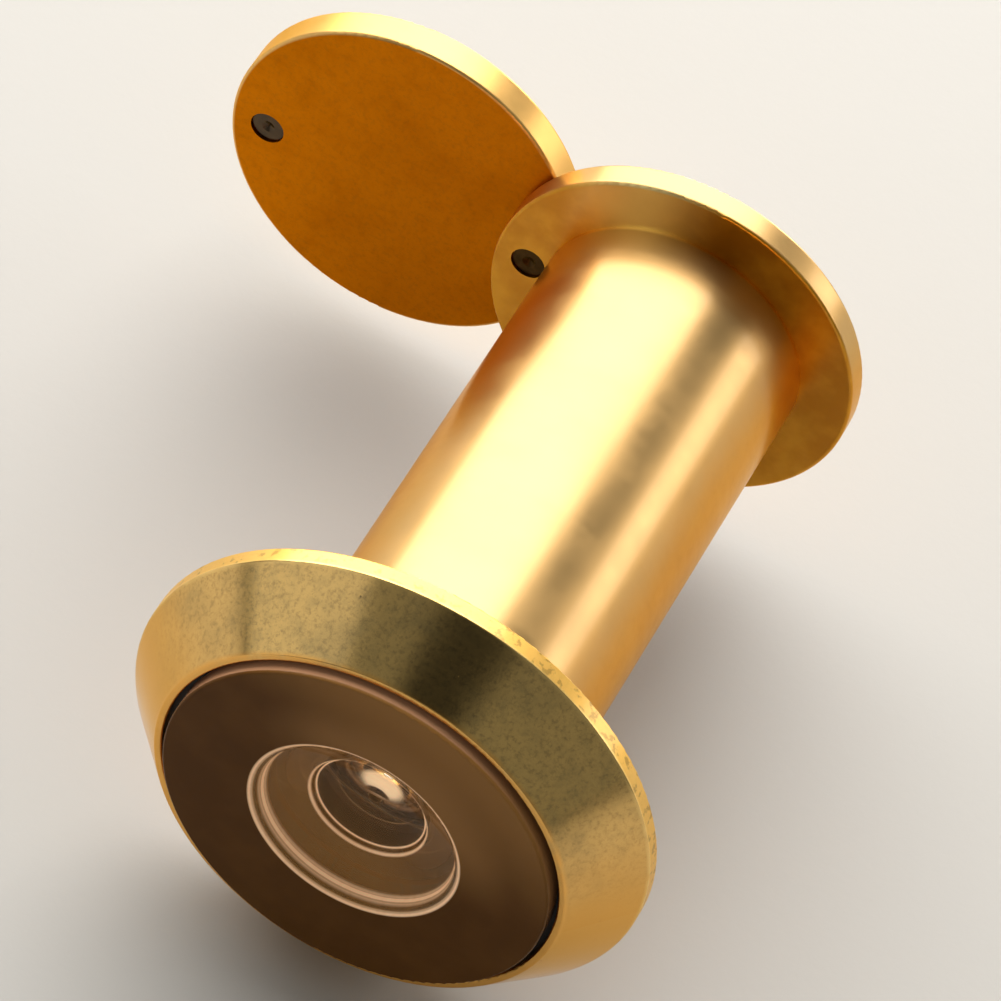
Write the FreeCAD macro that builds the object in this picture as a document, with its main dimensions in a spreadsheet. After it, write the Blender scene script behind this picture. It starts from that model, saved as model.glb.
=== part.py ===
"""Door viewer with a swivel privacy cover: a parametric FreeCAD document.

Frame: millimetres, +Z up, +Y along the viewer's axis from the outside of the door to the inside.
The origin is the centre of the outer head's seat, which lies on the door's outside face.
Every round piece is drawn in its own frame, as a half section with the radius along X and the
height along Z, and its placement turns that height onto +Y.
"""

import FreeCAD, Part
import math
import os

import Sketcher

DIMENSIONS = {
    # outer head with its threaded barrel
    "bezel_radius": 15.0,
    "bezel_land": 1.0,
    "bezel_cone": 3.8,
    "bezel_edge_round": 0.12,
    "lip_radius": 11.9,
    "recess_radius": 11.5,
    "floor_thick": 1.2,
    "mouth_recess_radius": 8.3,
    "mouth_recess_depth": 0.4,
    "barrel_radius": 6.95,
    "barrel_bore": 5.7,
    "barrel_length": 31.5,
    "barrel_chamfer": 0.7,
    "neck_radius": 6.25,
    "neck_length": 1.8,
    "thread_pitch": 1.0,
    "thread_depth": 0.54,
    "thread_crest": 0.125,
    "thread_gap": 0.12,
    # front lens and its seal
    "seal_thick": 0.5,
    "seal_bore": 6.6,
    "seal_wall_height": 2.9,
    "lens_radius": 11.2,
    "lens_thick": 3.6,
    "lens_edge_round": 0.15,
    "dish_radius": 6.15,
    "dish_wall_radius": 5.8,
    "dish_wall_top": 0.2,
    "dish_floor_radius": 5.45,
    "dish_wall_foot": 0.95,
    "bowl_rim_radius": 3.45,
    "bowl_rim_depth": 1.75,
    "bowl_radius": 3.2,
    "bowl_wall_foot": 2.1,
    "bowl_depth": 2.7,
    "lens_hollow_radius": 4.0,
    "lens_hollow_depth": 0.45,
    # inner lenses and their cell
    "lens_play": 0.05,
    "cell_radius": 5.67,
    "cell_bore": 4.6,
    "cell_length": 11.0,
    "cell_lip": 0.35,
    "cell_lip_chamfer": 0.25,
    "cell_lip_bore": 3.9,
    "inner_lens_radius": 4.55,
    "inner_hollow_radius": 3.6,
    "second_lens_thick": 2.0,
    "second_lens_hollow": 0.8,
    "second_lens_front_hollow": 0.55,
    "spacer_length": 2.4,
    "spacer_bore": 3.8,
    "third_lens_thick": 1.9,
    "third_lens_hollow": 0.55,
    "ring_length": 1.2,
    "ring_bore": 3.6,
    "lock_ring_radius": 5.68,
    "lock_ring_bore": 4.7,
    "notch_width": 0.8,
    "notch_depth": 0.5,
    # inner sleeve with its flange
    "sleeve_radius": 8.0,
    "sleeve_start": -0.2,
    "sleeve_bore": 7.2,
    "sleeve_thread_length": 8.0,
    "sleeve_mouth_chamfer": 0.2,
    "grip": 35.0,
    "flange_radius": 11.15,
    "flange_thick": 1.65,
    "flange_round": 0.2,
    # eyepiece
    "eye_seat_radius": 7.5,
    "eye_seat_depth": 3.9,
    "eye_lens_radius": 7.4,
    "eye_lens_edge": 1.3,
    "eye_lens_bulge": 0.7,
    "eye_dome_radius": 6.3,
    "eye_oring_radius": 0.4,
    "eye_ring_radius": 7.49,
    "eye_ring_thick": 1.5,
    "eye_ring_bore": 4.9,
    "eye_ring_flare": 6.1,
    "coin_slot_width": 1.4,
    "coin_slot_depth": 0.7,
    # swivel cover with its rivet, washers and knob
    "pivot_offset": 9.05,
    "open_angle": 188.0,
    "cover_gap": 0.3,
    "cover_radius": 10.7,
    "cover_thick": 2.0,
    "cover_round": 0.2,
    "tail_pocket_radius": 1.05,
    "tail_pocket_depth": 0.5,
    "tail_radius": 1.0,
    "tail_height": 0.35,
    "tail_dimple_radius": 0.4,
    "tail_dimple_depth": 0.2,
    "rivet_shank": 0.8,
    "rivet_play": 0.05,
    "rivet_head_radius": 1.8,
    "rivet_head_height": 0.8,
    "washer_radius": 1.7,
    "washer_thick": 0.15,
    "washer_rise": 0.15,
    "knob_offset": 8.42,
    "knob_shank": 0.8,
    "knob_radius": 2.0,
    "knob_height": 3.0,
    "knob_waist": 1.5,
    "knob_round": 0.4,
}

# where the inner lenses and the eyepiece's o-ring sit along the viewer's axis
CELL_FRONT = "-floor_thick - seal_thick + lens_play"
CELL_SEAT = CELL_FRONT + " + cell_lip"
EYE_SEAT = "grip + flange_thick - eye_seat_depth"

doc = FreeCAD.newDocument("DoorViewer")
X_AXIS = FreeCAD.Vector(1, 0, 0)
Y_AXIS = FreeCAD.Vector(0, 1, 0)


def make_sheet():
    """The driving dimensions, one row each, with an alias to bind expressions to."""
    sheet = doc.addObject("Spreadsheet::Sheet", "Dims")
    for row, (alias, value) in enumerate(DIMENSIONS.items(), start=1):
        sheet.set(f"A{row}", alias)
        sheet.set(f"B{row}", str(value))
        sheet.setAlias(f"B{row}", alias)
    doc.recompute()
    return sheet


def bound(text):
    """An expression in the sheet's aliases, with each word turned into a reference to the sheet."""
    words, word = [], ""
    for letter in text + " ":
        if letter.isalpha() or letter == "_" or (word and letter.isdigit()):
            word += letter
            continue
        words.append(f"Dims.{word}" if word in DIMENSIONS else word)
        words.append(letter)
        word = ""
    return "".join(words).strip()


def value_of(text):
    """The number that an expression in the aliases has now."""
    return float(sheet.evalExpression(bound(text)))


def plane_of(body, role):
    """One of the body's own origin planes."""
    for feature in body.Origin.OriginFeatures:
        if feature.Role == role:
            return feature
    raise ValueError(f"no plane {role}")


def new_body(label):
    body = doc.addObject("PartDesign::Body", label)
    body.Label = label
    return body


def new_sketch(body, name, role, offset=None):
    """A sketch on an origin plane of the body, raised by the offset expression."""
    sketch = body.newObject("Sketcher::SketchObject", f"{body.Name}_{name}")
    sketch.AttachmentSupport = [(plane_of(body, role), "")]
    sketch.MapMode = "FlatFace"
    if offset is not None:
        sketch.setExpression("AttachmentOffset.Base.z", bound(offset))
    return sketch


def pin_point(sketch, geometry, point, name, across, up):
    """Binds one end of a sketch line or arc to two expressions."""
    for kind, text, letter in (("DistanceX", across, "a"), ("DistanceY", up, "u")):
        number = value_of(text)
        index = sketch.addConstraint(
            Sketcher.Constraint(kind, -1, 1, geometry, point, number)
        )
        sketch.renameConstraint(index, f"{name}{letter}")
        sketch.setExpression(f"Constraints.{name}{letter}", bound(text))


def spherical_arc(start, end):
    """The arc from start to end whose centre is on the vertical axis."""
    (r0, z0), (r1, z1) = start, end
    centre_z = (r1**2 + z1**2 - r0**2 - z0**2) / (2 * (z1 - z0))
    radius = math.hypot(r0, z0 - centre_z)
    middle_r = (r0 + r1) / 2
    side = 1 if (z0 + z1) / 2 > centre_z else -1
    middle = FreeCAD.Vector(middle_r, centre_z + side * math.sqrt(radius**2 - middle_r**2), 0)
    return Part.Arc(FreeCAD.Vector(r0, z0, 0), middle, FreeCAD.Vector(r1, z1, 0))


def draw_outline(sketch, corners):
    """A closed outline. A corner is (across, up), or (across, up, "arc") where the side that
    leaves it is a spherical surface about the axis."""
    count = len(corners)
    spots = [(value_of(c[0]), value_of(c[1])) for c in corners]
    starts, ends = [], []
    for i, corner in enumerate(corners):
        here, there = spots[i], spots[(i + 1) % count]
        if len(corner) > 2:
            sketch.addGeometry(spherical_arc(here, there), False)
            first = sketch.getPoint(i, 1)
            forward = math.hypot(first.x - here[0], first.y - here[1]) < 1e-6
            starts.append(1 if forward else 2)
            ends.append(2 if forward else 1)
        else:
            line = Part.LineSegment(FreeCAD.Vector(*here, 0), FreeCAD.Vector(*there, 0))
            sketch.addGeometry(line, False)
            starts.append(1)
            ends.append(2)
    for i in range(count):
        after = (i + 1) % count
        sketch.addConstraint(
            Sketcher.Constraint("Coincident", i, ends[i], after, starts[after])
        )
    for i, corner in enumerate(corners):
        pin_point(sketch, i, starts[i], f"p{i}", corner[0], corner[1])
        if len(corner) > 2:
            sketch.addConstraint(Sketcher.Constraint("PointOnObject", i, 3, -2))


def revolve(body, name, corners):
    """Turns a half section about the piece's own axis."""
    sketch = new_sketch(body, name + "_section", "XZ_Plane")
    draw_outline(sketch, corners)
    doc.recompute()
    feature = body.newObject("PartDesign::Revolution", f"{body.Name}_{name}")
    feature.Profile = sketch
    feature.ReferenceAxis = (sketch, ["V_Axis"])
    feature.Angle = 360
    doc.recompute()
    return feature


def cut_away(body, name, sketch, depth, downwards):
    """A pocket that must take something away. Down is towards lower heights."""
    before = body.Shape.Volume
    pocket = body.newObject("PartDesign::Pocket", f"{body.Name}_{name}")
    pocket.Profile = sketch
    pocket.setExpression("Length", bound(depth))
    pocket.Reversed = not downwards
    doc.recompute()
    if body.Shape.Volume > before - 1e-6:
        raise ValueError(f"{body.Name} {name} cuts nothing")
    return pocket


def round_pocket(body, name, across, radius, height, depth, downwards=False):
    """A round hole or pocket parallel to the piece's axis, centred at (across, 0)."""
    sketch = new_sketch(body, name + "_circle", "XY_Plane", height)
    centre = FreeCAD.Vector(value_of(across), 0, 0)
    sketch.addGeometry(Part.Circle(centre, FreeCAD.Vector(0, 0, 1), value_of(radius)), False)
    size = sketch.addConstraint(Sketcher.Constraint("Radius", 0, value_of(radius)))
    sketch.renameConstraint(size, "size")
    sketch.setExpression("Constraints.size", bound(radius))
    sketch.addConstraint(Sketcher.Constraint("PointOnObject", 0, 3, -1))
    place = sketch.addConstraint(
        Sketcher.Constraint("DistanceX", -1, 1, 0, 3, value_of(across))
    )
    sketch.renameConstraint(place, "place")
    sketch.setExpression("Constraints.place", bound(across))
    doc.recompute()
    return cut_away(body, name, sketch, depth, downwards)


def cross_slot(body, name, width, reach, height, depth, downwards):
    """A straight slot across the piece's face, along X."""
    sketch = new_sketch(body, name + "_slot", "XY_Plane", height)
    half, end = f"{width} / 2", reach
    draw_outline(
        sketch,
        [
            (f"-{end}", f"-{half}"),
            (end, f"-{half}"),
            (end, half),
            (f"-{end}", half),
        ],
    )
    doc.recompute()
    return cut_away(body, name, sketch, depth, downwards)


def rims(feature, radius, height):
    """The names of a feature's round edges about its axis at this radius and height."""
    found = []
    for number, edge in enumerate(feature.Shape.Edges, start=1):
        if edge.Degenerated or not isinstance(edge.Curve, Part.Circle):
            continue
        curve = edge.Curve
        off_axis = math.hypot(curve.Center.x, curve.Center.y)
        near = abs(curve.Radius - radius) < 0.01 and abs(curve.Center.z - height) < 0.01
        if off_axis < 0.01 and near:
            found.append(f"Edge{number}")
    if not found:
        raise ValueError(f"{feature.Name} has no rim of {radius} at {height}")
    return found


def round_rims(body, name, feature, places, radius):
    """Fillets the rims at the given (radius, height) expressions."""
    names = [n for r, z in places for n in rims(feature, value_of(r), value_of(z))]
    fillet = body.newObject("PartDesign::Fillet", f"{body.Name}_{name}")
    fillet.Base = (feature, names)
    fillet.setExpression("Radius", bound(radius))
    doc.recompute()
    return fillet


def thread_groove(body, name, corners, length):
    """Cuts a right-hand thread, whose groove section is given, upwards over a length."""
    sketch = new_sketch(body, name + "_tooth", "XZ_Plane")
    draw_outline(sketch, corners)
    doc.recompute()
    before = body.Shape.Volume
    helix = body.newObject("PartDesign::SubtractiveHelix", f"{body.Name}_{name}")
    helix.Profile = sketch
    helix.ReferenceAxis = (sketch, ["V_Axis"])
    helix.Mode = "pitch-height-angle"
    helix.setExpression("Pitch", bound("thread_pitch"))
    helix.setExpression("Height", bound(length))
    helix.LeftHanded = False
    helix.Reversed = False
    doc.recompute()
    if body.Shape.Volume > before - 1e-6:
        raise ValueError(f"{body.Name} {name} cuts nothing")
    return helix


def stand_along_y(body, forward, arm=None, angle=0.0):
    """Turns the piece's height onto +Y and its X to the given angle from +X towards +Z.
    A piece with an arm stands that far from the pivot, in the open cover's direction."""
    upright = FreeCAD.Rotation(X_AXIS, -90)
    turned = FreeCAD.Rotation(Y_AXIS, -angle)
    body.Placement = FreeCAD.Placement(FreeCAD.Vector(), turned.multiply(upright))
    body.setExpression("Placement.Base.y", bound(forward))
    if arm is None:
        return
    cosine, sine = "cos(open_angle * 1deg)", "sin(open_angle * 1deg)"
    body.setExpression("Placement.Base.x", bound(f"-pivot_offset + ({arm}) * {cosine}"))
    body.setExpression("Placement.Base.z", bound(f"({arm}) * {sine}"))


def make_bezel_barrel():
    """The polished outer head, a coned ring with a recess for the front lens, and in one
    piece with it the threaded barrel that passes through the door."""
    body = new_body("bezel_barrel")
    top = "(bezel_land + bezel_cone)"
    end = f"({top} + barrel_length)"
    neck = f"({top} + neck_length)"
    turned = revolve(body, "turned", [
        ("lip_radius", "0"),
        ("bezel_radius", "bezel_cone"),
        ("bezel_radius", top),
        ("mouth_recess_radius", top),
        ("mouth_recess_radius", f"{top} - mouth_recess_depth"),
        ("neck_radius", f"{top} - mouth_recess_depth"),
        ("neck_radius", neck),
        ("barrel_radius", f"{neck} + barrel_radius - neck_radius"),
        ("barrel_radius", f"{end} - barrel_chamfer"),
        ("barrel_radius - barrel_chamfer", end),
        ("barrel_bore", end),
        ("barrel_bore", f"{top} - floor_thick"),
        ("recess_radius", f"{top} - floor_thick"),
        ("recess_radius", "0"),
    ])
    round_rims(body, "edges", turned, [
        ("lip_radius", "0"),
        ("recess_radius", "0"),
        ("bezel_radius", "bezel_cone"),
        ("bezel_radius", top),
    ], "bezel_edge_round")
    # the groove runs from the neck to past the tube's end, a little wider than the tube
    start = f"({neck} - thread_pitch / 2)"
    over = "0.08"
    half_root = "((thread_pitch - thread_crest) / 2 - thread_depth * 0.5774)"
    half_top = f"((thread_pitch - thread_crest) / 2 + {over} * 0.5774)"
    thread_groove(body, "thread", [
        ("barrel_radius - thread_depth", f"{start} - {half_root}"),
        (f"barrel_radius + {over}", f"{start} - {half_top}"),
        (f"barrel_radius + {over}", f"{start} + {half_top}"),
        ("barrel_radius - thread_depth", f"{start} + {half_root}"),
    ], f"{end} - {start} + thread_pitch")
    stand_along_y(body, "-bezel_land - bezel_cone")
    return body


def make_objective_seal():
    """The black L-section ring that beds the front lens and fills the gap round it."""
    body = new_body("objective_seal")
    revolve(body, "ring", [
        ("seal_bore", "seal_wall_height - seal_thick"),
        ("lens_radius", "seal_wall_height - seal_thick"),
        ("lens_radius", "0"),
        ("recess_radius", "0"),
        ("recess_radius", "seal_wall_height"),
        ("seal_bore", "seal_wall_height"),
    ])
    stand_along_y(body, "-floor_thick - seal_wall_height")
    return body


def make_objective_lens():
    """The wide front lens: a disc with a stepped dish and a bowl in front and a small hollow
    behind."""
    body = new_body("objective_lens")
    disc = revolve(body, "disc", [
        ("0", "bowl_depth"),
        ("0", "lens_thick - lens_hollow_depth", "arc"),
        ("lens_hollow_radius", "lens_thick"),
        ("lens_radius", "lens_thick"),
        ("lens_radius", "0"),
        ("dish_radius", "0"),
        ("dish_wall_radius", "dish_wall_top"),
        ("dish_floor_radius", "dish_wall_foot", "arc"),
        ("bowl_rim_radius", "bowl_rim_depth"),
        ("bowl_radius", "bowl_wall_foot", "arc"),
    ])
    round_rims(body, "edges", disc, [
        ("lens_radius", "0"),
    ], "lens_edge_round")
    stand_along_y(body, "-floor_thick - seal_thick - lens_thick")
    return body


def make_lens_cell():
    """The black tube inside the barrel that holds the two inner lenses."""
    body = new_body("lens_cell")
    revolve(body, "tube", [
        ("cell_lip_bore + cell_lip_chamfer", "0"),
        ("cell_radius", "0"),
        ("cell_radius", "cell_length"),
        ("cell_bore", "cell_length"),
        ("cell_bore", "cell_lip"),
        ("cell_lip_bore", "cell_lip"),
        ("cell_lip_bore", "cell_lip_chamfer"),
    ])
    stand_along_y(body, CELL_FRONT)
    return body


def make_second_lens():
    """The first inner lens, hollow on both sides."""
    body = new_body("second_lens")
    revolve(body, "disc", [
        ("0", "second_lens_front_hollow", "arc"),
        ("inner_hollow_radius", "0"),
        ("inner_lens_radius", "0"),
        ("inner_lens_radius", "second_lens_thick"),
        ("inner_hollow_radius", "second_lens_thick", "arc"),
        ("0", "second_lens_thick - second_lens_hollow"),
    ])
    stand_along_y(body, CELL_SEAT)
    return body


def make_lens_spacer():
    """The ring that keeps the two inner lenses apart."""
    body = new_body("lens_spacer")
    revolve(body, "ring", [
        ("spacer_bore", "0"),
        ("inner_lens_radius", "0"),
        ("inner_lens_radius", "spacer_length"),
        ("spacer_bore", "spacer_length"),
    ])
    stand_along_y(body, CELL_SEAT + " + second_lens_thick")
    return body


def make_third_lens():
    """The second inner lens, hollow on both sides."""
    body = new_body("third_lens")
    revolve(body, "disc", [
        ("0", "third_lens_hollow", "arc"),
        ("inner_hollow_radius", "0"),
        ("inner_lens_radius", "0"),
        ("inner_lens_radius", "third_lens_thick"),
        ("inner_hollow_radius", "third_lens_thick", "arc"),
        ("0", "third_lens_thick - third_lens_hollow"),
    ])
    stand_along_y(body, CELL_SEAT + " + second_lens_thick + spacer_length")
    return body


def make_notched_ring(label, radius, bore, forward):
    """A retaining ring with a slot across its inner face for a spanner."""
    body = new_body(label)
    revolve(body, "ring", [
        (bore, "0"),
        (radius, "0"),
        (radius, "ring_length"),
        (bore, "ring_length"),
    ])
    cross_slot(body, "notches", "notch_width", f"({radius} + 1)", "ring_length",
               "notch_depth", downwards=True)
    stand_along_y(body, forward)
    return body


def make_sleeve_flange():
    """The satin inner sleeve and its flange, with the thread that the barrel screws into."""
    body = new_body("sleeve_flange")
    face = "(grip - sleeve_start)"
    back = f"({face} + flange_thick)"
    crest = "(barrel_radius - thread_depth + thread_gap)"
    turned = revolve(body, "turned", [
        (crest, f"sleeve_bore - {crest}"),
        ("sleeve_bore", "0"),
        ("sleeve_radius - sleeve_mouth_chamfer", "0"),
        ("sleeve_radius", "sleeve_mouth_chamfer"),
        ("sleeve_radius", face),
        ("flange_radius", face),
        ("flange_radius", back),
        ("eye_seat_radius", back),
        ("eye_seat_radius", f"{back} - eye_seat_depth"),
        ("sleeve_bore", f"{back} - eye_seat_depth"),
        ("sleeve_bore", "sleeve_thread_length"),
        (crest, "sleeve_thread_length"),
    ])
    round_rims(body, "edges", turned, [
        ("flange_radius", face),
        ("flange_radius", back),
    ], "flange_round")
    round_pocket(body, "tail_pocket", "pivot_offset", "tail_pocket_radius", face,
                 "tail_pocket_depth")
    round_pocket(body, "rivet_hole", "pivot_offset", "rivet_shank", face,
                 "flange_thick + 1")
    # the groove is the barrel's ridge, larger all round by the thread's play, and it starts
    # at the height that meets that ridge on the pivot's side
    start = "(neck_length - sleeve_start - 3.5 * thread_pitch)"
    under = "0.1"
    half_ridge = "(thread_crest / 2)"
    half_in = f"({half_ridge} + (thread_depth + thread_gap + {under}) * 0.5774)"
    half_out = f"{half_ridge}"
    thread_groove(body, "thread", [
        (f"{crest} - {under}", f"{start} - {half_in}"),
        ("barrel_radius + thread_gap", f"{start} - {half_out}"),
        ("barrel_radius + thread_gap", f"{start} + {half_out}"),
        (f"{crest} - {under}", f"{start} + {half_in}"),
    ], f"sleeve_thread_length - {start} + thread_pitch")
    stand_along_y(body, "sleeve_start", angle=180.0)
    return body


def make_eyepiece_oring():
    """The rubber ring that beds the eyepiece lens on the sleeve's seat."""
    body = new_body("eyepiece_oring")
    sketch = new_sketch(body, "cord_section", "XZ_Plane")
    across = "eye_seat_radius - eye_oring_radius - 0.02"
    centre = FreeCAD.Vector(value_of(across), value_of("eye_oring_radius"), 0)
    cord = Part.Circle(centre, FreeCAD.Vector(0, 0, 1), value_of("eye_oring_radius"))
    sketch.addGeometry(cord, False)
    size = sketch.addConstraint(
        Sketcher.Constraint("Radius", 0, value_of("eye_oring_radius"))
    )
    sketch.renameConstraint(size, "size")
    sketch.setExpression("Constraints.size", bound("eye_oring_radius"))
    pin_point(sketch, 0, 3, "mid", across, "eye_oring_radius")
    doc.recompute()
    cord_ring = body.newObject("PartDesign::Revolution", "eyepiece_oring_ring")
    cord_ring.Profile = sketch
    cord_ring.ReferenceAxis = (sketch, ["V_Axis"])
    cord_ring.Angle = 360
    doc.recompute()
    stand_along_y(body, EYE_SEAT)
    return body


def make_eyepiece_lens():
    """The lens at the eye's end: flat towards the eye, bulging inwards."""
    body = new_body("eyepiece_lens")
    revolve(body, "disc", [
        ("0", "0", "arc"),
        ("eye_dome_radius", "eye_lens_bulge"),
        ("eye_lens_radius", "eye_lens_bulge"),
        ("eye_lens_radius", "eye_lens_bulge + eye_lens_edge"),
        ("0", "eye_lens_bulge + eye_lens_edge"),
    ])
    stand_along_y(body, EYE_SEAT + " + 2 * eye_oring_radius - eye_lens_bulge")
    return body


def make_eyepiece_ring():
    """The ring that keeps the eyepiece lens in, with a slot across it for a coin."""
    body = new_body("eyepiece_retaining_ring")
    revolve(body, "ring", [
        ("eye_ring_bore", "0"),
        ("eye_ring_radius", "0"),
        ("eye_ring_radius", "eye_ring_thick"),
        ("eye_ring_flare", "eye_ring_thick"),
        ("eye_ring_bore", "eye_ring_thick / 2"),
    ])
    cross_slot(body, "coin", "coin_slot_width", "(eye_ring_radius + 1)", "eye_ring_thick",
               "coin_slot_depth", downwards=True)
    stand_along_y(body, EYE_SEAT + " + 2 * eye_oring_radius + eye_lens_edge")
    return body


def make_pivot_rivet():
    """The rivet that the cover turns on. Its tail is staked into the flange."""
    body = new_body("pivot_rivet")
    shoulder = "(flange_thick - tail_pocket_depth + tail_height)"
    under_head = f"({shoulder} + cover_gap + cover_thick + washer_rise + washer_thick)"
    revolve(body, "turned", [
        ("0", "tail_dimple_depth"),
        ("tail_dimple_radius", "0"),
        ("tail_radius", "0"),
        ("tail_radius", "tail_height"),
        ("rivet_shank", "tail_height"),
        ("rivet_shank", under_head),
        ("rivet_head_radius", under_head),
        ("rivet_head_radius", f"{under_head} + rivet_head_height / 3", "arc"),
        ("0", f"{under_head} + rivet_head_height"),
    ])
    stand_along_y(body, "grip + tail_pocket_depth - tail_height", arm="0")
    return body


def make_spacer_washer():
    """The flat washer that keeps the cover clear of the flange."""
    body = new_body("pivot_spacer_washer")
    revolve(body, "ring", [
        ("rivet_shank + rivet_play", "0"),
        ("washer_radius", "0"),
        ("washer_radius", "cover_gap"),
        ("rivet_shank + rivet_play", "cover_gap"),
    ])
    stand_along_y(body, "grip + flange_thick", arm="0")
    return body


def make_spring_washer():
    """The coned spring washer under the rivet's head, which gives the cover its drag."""
    body = new_body("pivot_spring_washer")
    revolve(body, "cone", [
        ("rivet_shank + rivet_play", "washer_rise"),
        ("washer_radius", "0"),
        ("washer_radius", "washer_thick"),
        ("rivet_shank + rivet_play", "washer_rise + washer_thick"),
    ])
    stand_along_y(body, "grip + flange_thick + cover_gap + cover_thick", arm="0")
    return body


def make_cover_disc():
    """The privacy cover: a thick disc, drawn swung away from the eyepiece."""
    body = new_body("cover_disc")
    disc = revolve(body, "disc", [
        ("0", "0"),
        ("cover_radius", "0"),
        ("cover_radius", "cover_thick"),
        ("0", "cover_thick"),
    ])
    round_rims(body, "edges", disc, [
        ("cover_radius", "0"),
        ("cover_radius", "cover_thick"),
    ], "cover_round")
    round_pocket(body, "pivot_hole", "-pivot_offset", "rivet_shank + rivet_play", "0",
                 "cover_thick + 1")
    round_pocket(body, "tail_pocket", "knob_offset", "tail_pocket_radius", "0",
                 "tail_pocket_depth")
    round_pocket(body, "knob_hole", "knob_offset", "knob_shank", "0", "cover_thick + 1")
    stand_along_y(body, "grip + flange_thick + cover_gap", "pivot_offset",
                  angle=DIMENSIONS["open_angle"])
    return body


def make_finger_knob():
    """The finger knob, riveted through the cover opposite its pivot."""
    body = new_body("finger_knob")
    base = "(cover_thick - tail_pocket_depth + tail_height)"
    top = f"({base} + knob_height)"
    knob = revolve(body, "turned", [
        ("0", "tail_dimple_depth"),
        ("tail_dimple_radius", "0"),
        ("tail_radius", "0"),
        ("tail_radius", "tail_height"),
        ("knob_shank", "tail_height"),
        ("knob_shank", base),
        ("knob_waist", base),
        ("knob_radius", f"{top} - knob_height / 3"),
        ("knob_radius", top),
        ("0", top),
    ])
    round_rims(body, "edges", knob, [
        ("knob_radius", top),
    ], "knob_round")
    stand_along_y(
        body,
        "grip + flange_thick + cover_gap + tail_pocket_depth - tail_height",
        "pivot_offset + knob_offset",
    )
    return body


def write_parts(bodies):
    """Checks the document and every body, then writes one STEP file for each."""
    doc.recompute()
    for item in doc.Objects:
        if "Invalid" in item.State or "Error" in item.State:
            raise ValueError(f"{item.Label} failed: {item.State}")
    os.makedirs("parts", exist_ok=True)
    for body in bodies:
        shape = body.Shape
        if shape.isNull() or not shape.isValid():
            raise ValueError(f"{body.Label} has no valid shape")
        shape.exportStep(f"parts/{body.Label}.step")
        print(f"{body.Label}: {len(shape.Solids)} solid, {shape.Volume:.2f} mm3")


sheet = make_sheet()
write_parts([
    make_bezel_barrel(),
    make_objective_seal(),
    make_objective_lens(),
    make_lens_cell(),
    make_second_lens(),
    make_lens_spacer(),
    make_third_lens(),
    make_notched_ring("cell_retaining_ring", "inner_lens_radius", "ring_bore",
                      CELL_SEAT + " + second_lens_thick + spacer_length"
                      " + third_lens_thick"),
    make_notched_ring("barrel_lock_ring", "lock_ring_radius", "lock_ring_bore",
                      CELL_FRONT + " + cell_length"),
    make_sleeve_flange(),
    make_eyepiece_oring(),
    make_eyepiece_lens(),
    make_eyepiece_ring(),
    make_pivot_rivet(),
    make_spacer_washer(),
    make_spring_washer(),
    make_cover_disc(),
    make_finger_knob(),
])
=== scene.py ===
"""Door viewer: materials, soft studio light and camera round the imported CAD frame."""
import math

import bpy
from mathutils import Matrix, Vector


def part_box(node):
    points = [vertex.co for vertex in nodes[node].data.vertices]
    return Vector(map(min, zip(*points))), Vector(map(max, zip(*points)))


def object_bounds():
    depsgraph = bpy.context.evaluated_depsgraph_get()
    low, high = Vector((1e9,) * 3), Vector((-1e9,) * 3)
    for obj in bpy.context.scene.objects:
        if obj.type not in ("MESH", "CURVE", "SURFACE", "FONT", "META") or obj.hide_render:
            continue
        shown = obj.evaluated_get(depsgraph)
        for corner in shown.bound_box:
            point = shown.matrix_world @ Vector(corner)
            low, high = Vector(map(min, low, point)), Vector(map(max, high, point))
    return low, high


MM = 0.001

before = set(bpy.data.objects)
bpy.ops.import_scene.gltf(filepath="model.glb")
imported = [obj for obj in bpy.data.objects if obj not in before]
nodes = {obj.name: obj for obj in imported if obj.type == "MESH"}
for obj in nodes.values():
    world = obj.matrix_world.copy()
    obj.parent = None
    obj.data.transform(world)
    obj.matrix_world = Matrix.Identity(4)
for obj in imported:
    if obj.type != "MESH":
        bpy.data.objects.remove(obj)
cad_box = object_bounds()

# Places on the pieces in mm: along the axis, or out from it where the name says radius
LENS_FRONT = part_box("objective_lens")[0][1] / MM
LENS_SIDE_RADIUS = 11.02
BACKING_RADIUS = 6.17
DISH_RIM_RADIUS = 6.06
DISH_WALL_RADIUS = 5.6
DISH_WALL_FOOT = LENS_FRONT + 1.1
BOWL_RIM_RADII = (3.42, 3.17)
BOWL_FOOT = LENS_FRONT + 2.15
LIP_FRONT = -4.8
LIP_RADIUS = 12.0
LAND_FRONT = -1.0
LAND_RADIUS = 15.0
CELL_LIP_FRONT = -1.4
CELL_LIP_RADIUS = 3.9
FLANGE_FRONT = 35.0
COVER_RIM_RADIUS = 10.45
RIVET_TAIL_END = 35.6
KNOB_TAIL_END = 37.6
PIT_SIZE = 0.2

# Colours of the brass: bright, tarnished, brown, and the black of grime in specks and pits
GOLD = (0.80, 0.38, 0.05)
OLIVE = (0.46, 0.31, 0.105)
UMBER = (0.42, 0.19, 0.04)
SPECK = (0.14, 0.08, 0.025)
PIT = (0.09, 0.05, 0.015)
GRIME = (0.12, 0.07, 0.02)


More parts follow.
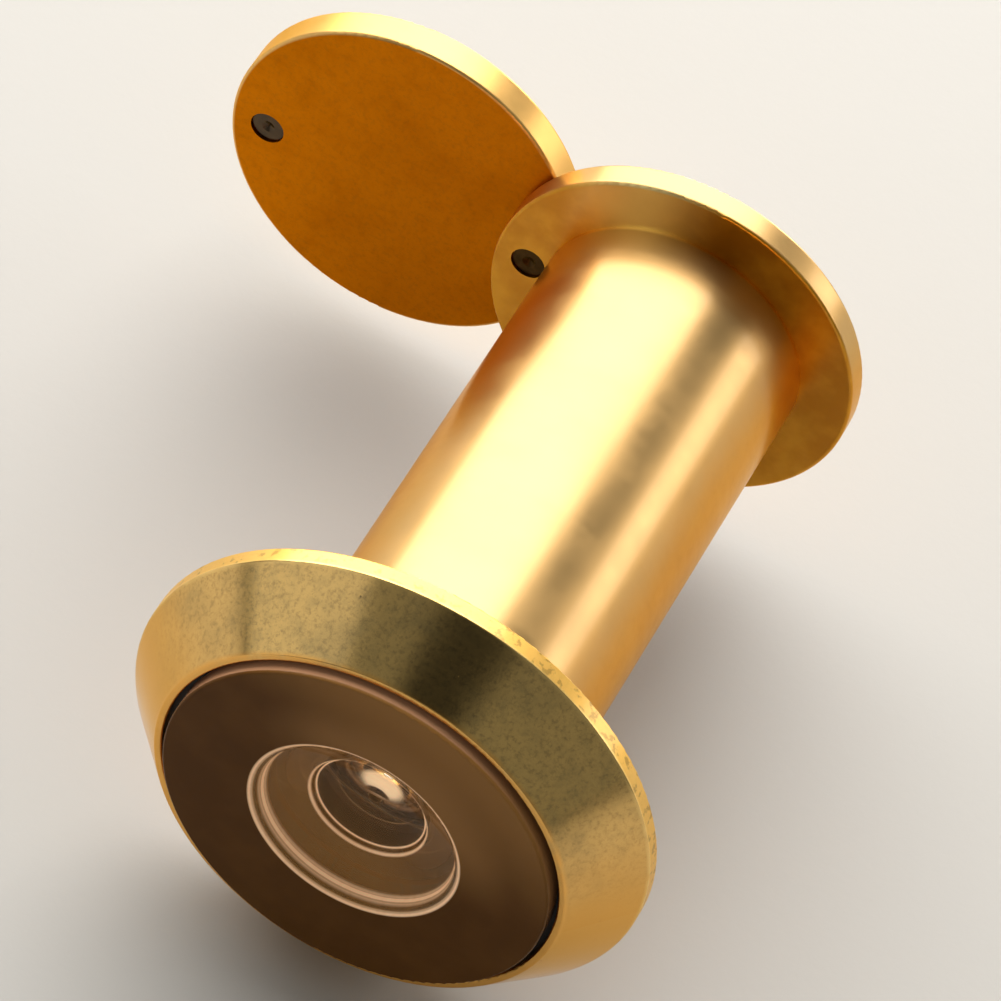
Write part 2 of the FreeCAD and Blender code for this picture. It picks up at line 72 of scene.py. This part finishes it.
class Graph:
    """A small builder for a material's nodes. Every method gives an output socket."""

    def __init__(self, name):
        self.mat = bpy.data.materials.new(name)
        self.mat.use_nodes = True
        self.tree = self.mat.node_tree
        self.tree.nodes.clear()
        place = self.new("ShaderNodeTexCoord").outputs["Object"]
        scaled = self.new("ShaderNodeVectorMath", operation="SCALE")
        self.tree.links.new(place, scaled.inputs[0])
        scaled.inputs["Scale"].default_value = 1 / MM
        self.place = scaled.outputs[0]
        split = self.new("ShaderNodeSeparateXYZ")
        self.tree.links.new(self.place, split.inputs[0])
        self.x, self.y, self.z = split.outputs
        self.radius = self.distance(0.0, 0.0)

    def new(self, kind, **settings):
        node = self.tree.nodes.new(kind)
        for key, value in settings.items():
            setattr(node, key, value)
        return node

    def feed(self, socket, value):
        if isinstance(value, bpy.types.NodeSocket):
            self.tree.links.new(value, socket)
        elif hasattr(value, "__len__") and len(value) == 3 and socket.type == "RGBA":
            socket.default_value = (*value, 1)
        else:
            socket.default_value = value

    def math(self, operation, a, b=0.0, clamp=False):
        node = self.new("ShaderNodeMath", operation=operation, use_clamp=clamp)
        self.feed(node.inputs[0], a)
        self.feed(node.inputs[1], b)
        return node.outputs[0]

    def root(self, a):
        return self.math("SQRT", a)

    def distance(self, x, z):
        """Distance from the line along Y through (x, z)."""
        across, up = self.math("SUBTRACT", self.x, x), self.math("SUBTRACT", self.z, z)
        return self.root(
            self.math("ADD", self.math("MULTIPLY", across, across),
                      self.math("MULTIPLY", up, up))
        )

    def step(self, value, low, high, start=0.0, end=1.0):
        """Runs smoothly from start to end as value goes from low to high."""
        node = self.new("ShaderNodeMapRange", interpolation_type="SMOOTHSTEP")
        for socket, number in zip(node.inputs, (value, low, high, start, end)):
            self.feed(socket, number)
        return node.outputs[0]

    def band(self, value, centre, half):
        """1 at the centre and 0 from half away on."""
        gap = self.math("ABSOLUTE", self.math("SUBTRACT", value, centre))
        return self.step(gap, 0.0, half, 1.0, 0.0)

    def vector(self, x, y, z):
        node = self.new("ShaderNodeCombineXYZ")
        for socket, value in zip(node.inputs, (x, y, z)):
            self.feed(socket, value)
        return node.outputs[0]

    def noise(self, size, detail=3.0, rough=0.55, at=None):
        """Noise whose features are about size mm across."""
        scale = self.new("ShaderNodeVectorMath", operation="MULTIPLY")
        self.feed(scale.inputs[0], at or self.place)
        scale.inputs[1].default_value = [1 / size] * 3
        node = self.new("ShaderNodeTexNoise")
        self.feed(node.inputs["Vector"], scale.outputs[0])
        node.inputs["Scale"].default_value = 1.0
        node.inputs["Detail"].default_value = detail
        node.inputs["Roughness"].default_value = rough
        return node.outputs[0]

    def mix(self, factor, a, b):
        node = self.new("ShaderNodeMix", data_type="RGBA")
        self.feed(node.inputs["Factor"], factor)
        self.feed(node.inputs["A"], a)
        self.feed(node.inputs["B"], b)
        return node.outputs["Result"]

    def sum(self, *values):
        total = values[0]
        for value in values[1:]:
            total = self.math("ADD", total, value)
        return total

    def times(self, value, factor):
        return self.math("MULTIPLY", value, factor)

    def bump(self, height_mm):
        node = self.new("ShaderNodeBump")
        node.inputs["Strength"].default_value = 1.0
        node.inputs["Distance"].default_value = MM
        self.feed(node.inputs["Height"], height_mm)
        return node.outputs[0]

    def surface(self, colour, roughness, normal=None, **fixed):
        shader = self.new("ShaderNodeBsdfPrincipled")
        self.feed(shader.inputs["Base Color"], colour)
        self.feed(shader.inputs["Roughness"], roughness)
        if normal is not None:
            self.feed(shader.inputs["Normal"], normal)
        for name, value in fixed.items():
            self.feed(shader.inputs[name.replace("_", " ")], value)
        return shader.outputs[0]

    def blend(self, factor, a, b):
        """Goes from shader a to shader b as the factor goes from 0 to 1."""
        node = self.new("ShaderNodeMixShader")
        for socket, value in zip(node.inputs, (factor, a, b)):
            self.feed(socket, value)
        return node.outputs[0]

    def finish(self, shader):
        output = self.new("ShaderNodeOutputMaterial")
        self.feed(output.inputs["Surface"], shader)
        return self.mat

    def turning(self, pitch, radial=1.0):
        """Fine lathe lines round the axis: noise that changes with the radius, by the radial
        share, and along the axis only."""
        lines = self.vector(self.times(self.radius, radial), self.y, 0.0)
        return self.noise(pitch, detail=2.0, rough=0.5, at=lines)

    def pits(self, size, share):
        """Scattered small pits, 1 inside a pit."""
        scale = self.new("ShaderNodeVectorMath", operation="SCALE")
        self.feed(scale.inputs[0], self.place)
        scale.inputs["Scale"].default_value = 1 / size
        cells = self.new("ShaderNodeTexVoronoi")
        self.feed(cells.inputs["Vector"], scale.outputs[0])
        cells.inputs["Scale"].default_value = 1.0
        near = self.step(cells.outputs["Distance"], 0.12, 0.34, 1.0, 0.0)
        chosen = self.step(self.noise(size * 6, detail=2.0), 1 - share, 1.06 - share)
        return self.times(near, chosen)


def brass(name, base, dark, rough=0.2, lines=0.25, line_depth=0.002, tarnish=0.5,
          pit_share=0.3, grain=0.0012, speck=0.0, shade=None, coat=0.0,
          edge=(1.0, 0.85, 0.5), radial=1.0, dull=None):
    """Lathe-turned brass: tarnish in patches and specks, turning lines and fine pits. Shade
    recolours some places and dull roughens them. Edge is the tint of its reflections at a low
    angle."""
    g = Graph(name)
    cloud = g.step(g.noise(6.0, detail=5.0), 0.42, 0.68)
    mottle = g.noise(0.9, detail=3.0, rough=0.6)
    fine = g.noise(0.25, detail=1.0)
    turned = g.turning(lines, radial)
    pits = g.pits(PIT_SIZE, pit_share) if pit_share else 0.0
    stain = g.math("MULTIPLY", g.sum(g.times(cloud, 0.6), g.step(mottle, 0.42, 0.75, 0.0, 0.5)),
                   tarnish, clamp=True)
    colour = g.mix(stain, base, dark)
    specks = g.step(g.noise(0.3, detail=6.0, rough=0.8), 0.46, 0.66, 0.0, speck)
    colour = g.mix(specks, colour, SPECK)
    if shade is not None:
        colour = shade(g, colour)
    colour = g.mix(g.times(pits, 0.6), colour, PIT)
    roughness = g.sum(
        rough,
        g.times(cloud, 0.07),
        g.times(mottle, 0.06),
        g.times(g.math("SUBTRACT", turned, 0.5), 0.08),
        g.times(pits, 0.2),
        dull(g) if dull else 0.0,
    )
    height = g.sum(
        g.times(turned, line_depth),
        g.times(fine, grain),
        g.times(mottle, 0.001),
        g.times(pits, -0.006),
    )
    shader = g.surface(colour, roughness, g.bump(height), Metallic=1.0, Coat_Weight=coat,
                       Coat_IOR=2.0, Coat_Roughness=0.16, Specular_Tint=edge)
    return g.finish(shader)


def bezel_shade(g, colour):
    """The head is more orange low down, painted shade that stands in for its dimmer reflections
    there. Its corners, at the lip and at the land's edge, are brighter brass, partly wear and
    partly a painted highlight on the edges."""
    # More orange low down: painted shade.
    low = g.step(g.sum(g.z, g.times(g.noise(7.0), 6.0)), 12.0, 2.0)
    colour = g.mix(low, colour, (0.78, 0.38, 0.055))
    colour = g.mix(g.times(on_land(g), 0.8), colour, (0.80, 0.47, 0.10))
    grime_and_shade = g.times(on_land(g), g.step(g.noise(0.5, detail=5.0), 0.54, 0.64, 0.0, 0.45))
    colour = g.mix(grime_and_shade, colour, GRIME)
    # Lip and land corner: brighter brass, partly wear and partly a painted highlight on the
    # edges.
    lip = g.times(g.band(g.y, LIP_FRONT, 0.25), g.step(g.radius, LIP_RADIUS + 0.4, LIP_RADIUS))
    corner = g.times(g.band(g.y, LAND_FRONT, 0.18),
                     g.step(g.radius, LAND_RADIUS - 0.6, LAND_RADIUS - 0.2))
    patch = g.step(g.noise(1.2, detail=4.0), 0.3, 0.6, 0.25, 0.9)
    colour = g.mix(g.times(corner, patch), colour, (0.90, 0.60, 0.20))
    return g.mix(g.times(lip, patch), colour, (0.88, 0.44, 0.08))


def on_land(g):
    """1 on the narrow cylinder at the head's largest radius."""
    return g.times(g.step(g.y, LAND_FRONT - 0.05, LAND_FRONT + 0.1),
                   g.step(g.radius, LAND_RADIUS - 0.2, LAND_RADIUS - 0.05))


def worn_land(g):
    """The land's extra roughness."""
    return g.times(on_land(g), 0.25)


def sleeve_shade(g, colour):
    """The tube is paler on top and more orange lower down, painted light that stands in for how
    the light falls on it. The flange's door side face is deep orange, painted shade for its dim
    warm reflections, with a paler sweep high up that is a painted reflection of the lit tube."""
    # Paler on top: painted light.
    top = g.step(g.sum(g.z, g.times(g.noise(4.0), 1.2)), 3.2, 7.0)
    colour = g.mix(top, colour, (0.58, 0.36, 0.14))
    # The flange's door side face: deep orange painted shade.
    face = g.times(g.step(g.y, FLANGE_FRONT - 0.3, FLANGE_FRONT - 0.05),
                   g.step(g.y, FLANGE_FRONT + 0.05, FLANGE_FRONT + 0.2, 1.0, 0.0))
    cloud = g.step(g.noise(3.0, detail=4.0), 0.35, 0.7)
    orange = g.mix(cloud, (0.62, 0.25, 0.004), (0.80, 0.38, 0.02))
    # Paler sweep high up: painted reflection of the lit tube.
    sweep = g.times(g.band(g.x, -4.0, 5.0), g.step(g.z, 3.0, 8.0, 0.0, 0.8))
    orange = g.mix(sweep, orange, (1.0, 0.80, 0.36))
    return g.mix(face, colour, orange)


def cover_shade(g, colour):
    """The cover's door side is deep orange, painted shade that stands in for its dim warm
    reflections. Its rim and its other side are plain brass."""
    low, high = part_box("cover_disc")
    centre = (low + high) / 2 / MM
    rim = g.step(g.distance(centre.x, centre.z), COVER_RIM_RADIUS, COVER_RIM_RADIUS + 0.15)
    outer_side = g.step(g.y, centre.y - 0.1, centre.y + 0.1)
    patch = g.step(g.noise(4.0, detail=4.0), 0.35, 0.7)
    # The other side is plain brass, without the painted shade.
    colour = g.mix(outer_side, colour, g.mix(patch, (0.78, 0.47, 0.12), (0.66, 0.36, 0.07)))
    return g.mix(rim, colour, (0.80, 0.48, 0.16))


def painted_shade_below(g, colour, level):
    """The staked tail of a rivet, below this height along +Y, is coloured almost black, painted
    shade for the shadow in its recess.
    """
    # Near-black tone: painted shade in the recess.
    grime_and_shade = g.mix(g.noise(0.5, detail=4.0), (0.012, 0.006, 0.002), (0.10, 0.055, 0.02))
    return g.mix(g.step(g.y, level, level + 0.1, 1.0, 0.0), colour, grime_and_shade)


def rivet_tail_shade(g, colour):
    # Painted shade in the rivet tail's recess.
    return painted_shade_below(g, colour, RIVET_TAIL_END)


def knob_tail_shade(g, colour):
    # Painted shade in the knob tail's recess.
    return painted_shade_below(g, colour, KNOB_TAIL_END)


def brown_backing(g, smudge):
    """Glass backed with dark brown, made paler high up by painted light and given a pale halo
    round the top of the dish as a painted reflection. The ground side of the lens is pinkish,
    with painted shade darkening it on the right."""
    upward = g.sum(g.times(g.x, 0.35), g.z)
    brown = g.mix(g.step(smudge, 0.35, 0.7), (0.095, 0.034, 0.003), (0.12, 0.046, 0.006))
    # Paler high up: painted light.
    brown = g.mix(g.step(upward, 3.0, 12.0, 0.0, 0.7), brown, (0.40, 0.19, 0.055))
    # Pale halo round the dish: painted reflection.
    halo = g.times(g.step(g.radius, 9.5, 6.4), g.step(upward, 1.0, 6.0, 0.0, 0.45))
    brown = g.mix(halo, brown, (0.45, 0.22, 0.075))
    side = g.times(g.step(g.radius, LENS_SIDE_RADIUS, LENS_SIDE_RADIUS + 0.14),
                   g.step(g.y, LENS_FRONT + 0.1, LENS_FRONT + 0.2))
    # Darker on the right: painted shade.
    lit_side = g.times(side, g.step(g.x, 2.0, 9.0, 1.0, 0.2))
    brown = g.mix(lit_side, brown, (0.55, 0.29, 0.16))
    roughness = g.sum(0.05, g.times(smudge, 0.08))
    return g.surface(brown, roughness, g.bump(g.times(g.noise(2.0), 0.002)), IOR=1.52,
                     Specular_IOR_Level=0.07)


def ground_and_glow_share(g):
    """How ground the glass is, which is also where it carries a painted glow: on the dish's rim
    and wall and on the bowl's two rims, in fine turned lines."""
    in_dish = g.step(g.y, DISH_WALL_FOOT, DISH_WALL_FOOT + 0.1, 1.0, 0.0)
    rim, wall = g.band(g.radius, DISH_RIM_RADIUS, 0.2), g.band(g.radius, DISH_WALL_RADIUS, 0.2)
    dish = g.times(g.times(g.math("MAXIMUM", rim, wall), in_dish), 0.9)
    outer, inner = BOWL_RIM_RADII
    rings = g.math("MAXIMUM", g.band(g.radius, outer, 0.11), g.band(g.radius, inner, 0.09))
    bowl = g.times(rings, g.step(g.y, BOWL_FOOT + 0.1, BOWL_FOOT + 0.2, 0.95, 0.0))
    lines = g.step(g.turning(0.16), 0.35, 0.55, 0.45, 1.0)
    return g.times(g.math("MAXIMUM", dish, bowl), lines)


def film_share(g):
    """How much old film lies on the dish: most low down on the left, little in the bowl."""
    in_front = g.step(g.y, BOWL_FOOT + 0.5, BOWL_FOOT + 0.9, 1.0, 0.0)
    low_left = g.step(g.sum(g.z, g.times(g.x, 0.7)), -4.5, 3.0, 0.42, 0.22)
    return g.times(g.times(in_front, low_left), g.step(g.radius, 2.9, 3.3, 0.35, 1.0))


def dark_glass(name):
    """The front lens: a clear stepped dish in the middle, with ground rims that carry a painted
    glow, and dark brown glass round it."""
    g = Graph(name)
    smudge = g.noise(5.0, detail=4.0)
    clear = g.surface((0.99, 0.93, 0.85), 0.012, IOR=1.75, Transmission_Weight=1.0,
                      Specular_Tint=(0.55, 0.32, 0.14))
    murk = g.mix(smudge, (0.60, 0.25, 0.05), (0.95, 0.48, 0.16))
    film = g.surface(murk, 0.08, IOR=1.62, Specular_IOR_Level=0.1)
    streaks = g.noise(0.35, detail=3.0)
    cream = g.mix(streaks, (0.80, 0.50, 0.30), (1.0, 0.80, 0.58))
    # Ground rims: partly ground glass, partly a painted highlight in cream with an emission
    # that is a painted glow.
    ground = g.surface(cream, 0.18, g.bump(g.times(streaks, 0.003)), IOR=1.62,
                       Emission_Color=(1.0, 0.52, 0.24), Emission_Strength=0.36)
    dish = g.blend(ground_and_glow_share(g), g.blend(film_share(g), clear, film), ground)
    outside = g.step(g.radius, BACKING_RADIUS, BACKING_RADIUS + 0.05)
    return g.finish(g.blend(outside, dish, brown_backing(g, smudge)))


def clear_glass(name, tint, glow=0.0):
    """Polished lens glass with faint smears. Glow is the strength of a painted glow in its
    middle, standing in for the bright far opening seen through the optics.
    """
    g = Graph(name)
    smear = g.noise(2.5, detail=4.0)
    roughness = g.sum(0.01, g.step(smear, 0.5, 0.8, 0.0, 0.05))
    shader = g.surface(tint, roughness, IOR=1.52, Transmission_Weight=1.0)
    if glow:
        # Painted glow in the middle.
        painted_glow_shader = g.surface((0.95, 0.72, 0.48), 0.3, Emission_Color=(1.0, 0.72, 0.45),
                           Emission_Strength=glow)
        shader = g.blend(g.step(g.radius, 1.1, 2.0, 0.85, 0.0), shader, painted_glow_shader)
    return g.finish(shader)


def matt(name, colour, light, rough, grain):
    """Moulded rubber or plastic: fine grain, dust and a little variation."""
    g = Graph(name)
    cloud = g.noise(1.5, detail=4.0)
    fine = g.noise(grain, detail=2.0)
    tone = g.mix(g.step(cloud, 0.35, 0.75), colour, light)
    roughness = g.sum(rough, g.times(cloud, 0.15))
    height = g.sum(g.times(fine, 0.008), g.times(cloud, 0.004))
    return g.finish(g.surface(tone, roughness, g.bump(height)))


def browned(name, lip_radius=None):
    """Browned brass. Where a lip radius is given, the cell's lip gets a bright cream ring,
    which is painted light.
    """
    g = Graph(name)
    cloud = g.noise(1.2, detail=4.0)
    turned = g.turning(0.12)
    tone = g.mix(cloud, (0.26, 0.14, 0.065), (0.42, 0.25, 0.13))
    if lip_radius is not None:
        front = g.step(g.y, CELL_LIP_FRONT + 0.2, CELL_LIP_FRONT, 1.0, 0.0)
        # Bright lip ring: painted light.
        painted_lip_light = g.times(g.band(g.radius, lip_radius, 0.25), front)
        tone = g.mix(painted_lip_light, tone, (0.95, 0.75, 0.52))
    roughness = g.sum(0.3, g.times(cloud, 0.1), g.times(turned, 0.05))
    shader = g.surface(tone, roughness, g.bump(g.times(turned, 0.002)), Metallic=0.25)
    return g.finish(shader)


def steel(name):
    g = Graph(name)
    turned = g.turning(0.08)
    tone = g.mix(g.noise(0.8, detail=4.0), (0.36, 0.35, 0.33), (0.55, 0.54, 0.52))
    roughness = g.sum(0.29, g.times(turned, 0.15))
    shader = g.surface(tone, roughness, g.bump(g.times(turned, 0.004)), Metallic=1.0)
    return g.finish(shader)


bezel_brass = brass("bezel_brass", (0.80, 0.50, 0.15), OLIVE, rough=0.12, lines=0.3,
                    tarnish=0.85, speck=0.42, shade=bezel_shade, coat=0.3,
                    dull=worn_land)
# The tube's orange base, made paler on top by sleeve_shade, is painted light.
tube_brass = brass("tube_brass", (0.70, 0.30, 0.03), (0.60, 0.25, 0.02), rough=0.285, lines=0.7,
                   line_depth=0.001, tarnish=0.5, pit_share=0.0, grain=0.0009,
                   shade=sleeve_shade, coat=0.2, radial=0.15)
# The cover's deep orange base is painted shade on its door side; cover_shade makes its rim and
# other side plain brass.
cover_brass = brass("cover_brass", (0.60, 0.175, 0.003), (0.47, 0.13, 0.001), rough=0.3,
                    lines=0.5, tarnish=0.8, pit_share=0.25, speck=0.2, shade=cover_shade,
                    edge=(1.0, 0.7, 0.3))
knob_brass = brass("knob_brass", GOLD, OLIVE, rough=0.15, tarnish=0.5, shade=knob_tail_shade,
                   coat=0.2)
rivet_brass = brass("rivet_brass", (0.55, 0.30, 0.07), UMBER, rough=0.29, tarnish=0.9,
                    shade=rivet_tail_shade)
ring_brass = brass("ring_brass", (0.60, 0.36, 0.10), UMBER, rough=0.3, tarnish=0.6)
black_rubber = matt("black_rubber", (0.012, 0.010, 0.009), (0.03, 0.026, 0.022), 0.55, 0.12)
black_plastic = matt("black_plastic", (0.014, 0.012, 0.011), (0.028, 0.024, 0.02), 0.4, 0.09)

FINISHES = {
    "bezel_barrel": bezel_brass,
    "objective_seal": black_rubber,
    "objective_lens": dark_glass("front_lens_glass"),
    "lens_cell": browned("browned_cell", CELL_LIP_RADIUS),
    # The second lens has a painted glow in its middle.
    "second_lens": clear_glass("second_lens_glass", (0.95, 0.93, 0.90), glow=0.8),
    "lens_spacer": browned("browned_spacer"),
    "third_lens": clear_glass("third_lens_glass", (0.95, 0.94, 0.91)),
    "cell_retaining_ring": black_plastic,
    "barrel_lock_ring": ring_brass,
    "sleeve_flange": tube_brass,
    "eyepiece_oring": black_rubber,
    "eyepiece_lens": clear_glass("eyepiece_glass", (0.93, 0.95, 0.93)),
    "eyepiece_retaining_ring": ring_brass,
    "pivot_rivet": rivet_brass,
    "pivot_spacer_washer": ring_brass,
    "pivot_spring_washer": steel("spring_steel"),
    "cover_disc": cover_brass,
    "finger_knob": knob_brass,
}
for node, finish in FINISHES.items():
    slots = nodes[node].data.materials
    slots.clear()
    slots.append(finish)


# What the key light's face shines with. The right strip has a share of it.
KEY_RADIANCE = 4.0


def aimed(position, target, up):
    """A matrix at position whose -Z axis points at the target."""
    back = (Vector(position) - Vector(target)).normalized()
    right = Vector(up).cross(back).normalized()
    turn = Matrix((right, back.cross(right), back)).transposed().to_4x4()
    return Matrix.Translation(position) @ turn


def softbox(name, angle, forward, distance, width, length, radiance, colour=(1, 1, 1)):
    """A large area light. Its direction is an angle round the viewer's axis, from +X towards
    +Z, and a share forward along +Y. Radiance is what its face shines with."""
    across = math.sqrt(1 - forward**2)
    turn = math.radians(angle)
    aim = Vector((0.0, 0.015, 0.0))
    towards = Vector((across * math.cos(turn), forward, across * math.sin(turn)))
    around = Vector((-math.sin(turn), 0.0, math.cos(turn)))
    data = bpy.data.lights.new(name, "AREA")
    data.shape = "RECTANGLE"
    data.size = width
    data.size_y = length
    data.color = colour
    data.energy = radiance * math.pi * width * length
    light = bpy.data.objects.new(name, data)
    bpy.context.scene.collection.objects.link(light)
    light.matrix_world = aimed(aim + towards * distance, aim, towards.cross(around))
    light.visible_camera = False
    return light


softbox("key_box", angle=123.5, forward=0.52, distance=0.50, width=0.80, length=0.62,
        radiance=KEY_RADIANCE, colour=(1.0, 0.97, 0.92))
softbox("right_strip", angle=20, forward=0.58, distance=0.50, width=0.16, length=0.50,
        radiance=0.7 * KEY_RADIANCE, colour=(1.0, 0.95, 0.88))
softbox("left_fill", angle=156, forward=-0.49, distance=0.60, width=0.43, length=0.40,
        radiance=0.5)
softbox("back_box", angle=90, forward=0.985, distance=0.50, width=0.36, length=0.36,
        radiance=6.0, colour=(1.0, 0.94, 0.88))


def studio_world():
    """Dim pale walls, darkest high up in front, where the photographer stands."""
    world = bpy.data.worlds.new("studio")
    world.use_nodes = True
    tree = world.node_tree
    place = tree.nodes.new("ShaderNodeTexCoord")
    facing = tree.nodes.new("ShaderNodeVectorMath")
    facing.operation = "DOT_PRODUCT"
    facing.inputs[1].default_value = Vector((0.08, -0.638, 0.765)).normalized()
    level = tree.nodes.new("ShaderNodeMapRange")
    level.interpolation_type = "SMOOTHSTEP"
    for socket, number in zip(level.inputs[1:], (0.94, 0.992, 0.24, 0.035)):
        socket.default_value = number
    background = tree.nodes["Background"]
    background.inputs["Color"].default_value = (0.97, 1.0, 0.92, 1)
    tree.links.new(place.outputs["Generated"], facing.inputs[0])
    tree.links.new(facing.outputs["Value"], level.inputs[0])
    tree.links.new(level.outputs[0], background.inputs["Strength"])
    return world


bpy.context.scene.world = studio_world()


def floor_material():
    g = Graph("pale_floor")
    tone = g.mix(g.noise(60.0, detail=3.0), (0.47, 0.46, 0.445), (0.50, 0.49, 0.475))
    return g.finish(g.surface(tone, 0.8, g.bump(g.times(g.noise(0.8), 0.01))))


bpy.ops.mesh.primitive_plane_add(size=6, location=(0, 0, cad_box[0][2]))
floor = bpy.context.object
floor.name = "floor"
floor.data.materials.append(floor_material())

camera_data = bpy.data.cameras.new("camera")
camera_data.sensor_width = 36.0
camera_data.lens = 215.8
camera_data.clip_start = 0.01
camera = bpy.data.objects.new("camera", camera_data)
bpy.context.scene.collection.objects.link(camera)
bpy.context.scene.camera = camera
right = Vector((0.877, 0.4256, 0.2234)).normalized()
up = Vector((-0.4685, 0.6537, 0.594))
up = (up - up.dot(right) * right).normalized()
turn = Matrix((right, up, right.cross(up))).transposed().to_4x4()
camera.matrix_world = Matrix.Translation(Vector((32.0, -186.1, 253.2)) * MM) @ turn

bpy.context.scene.view_settings.view_transform = "Standard"
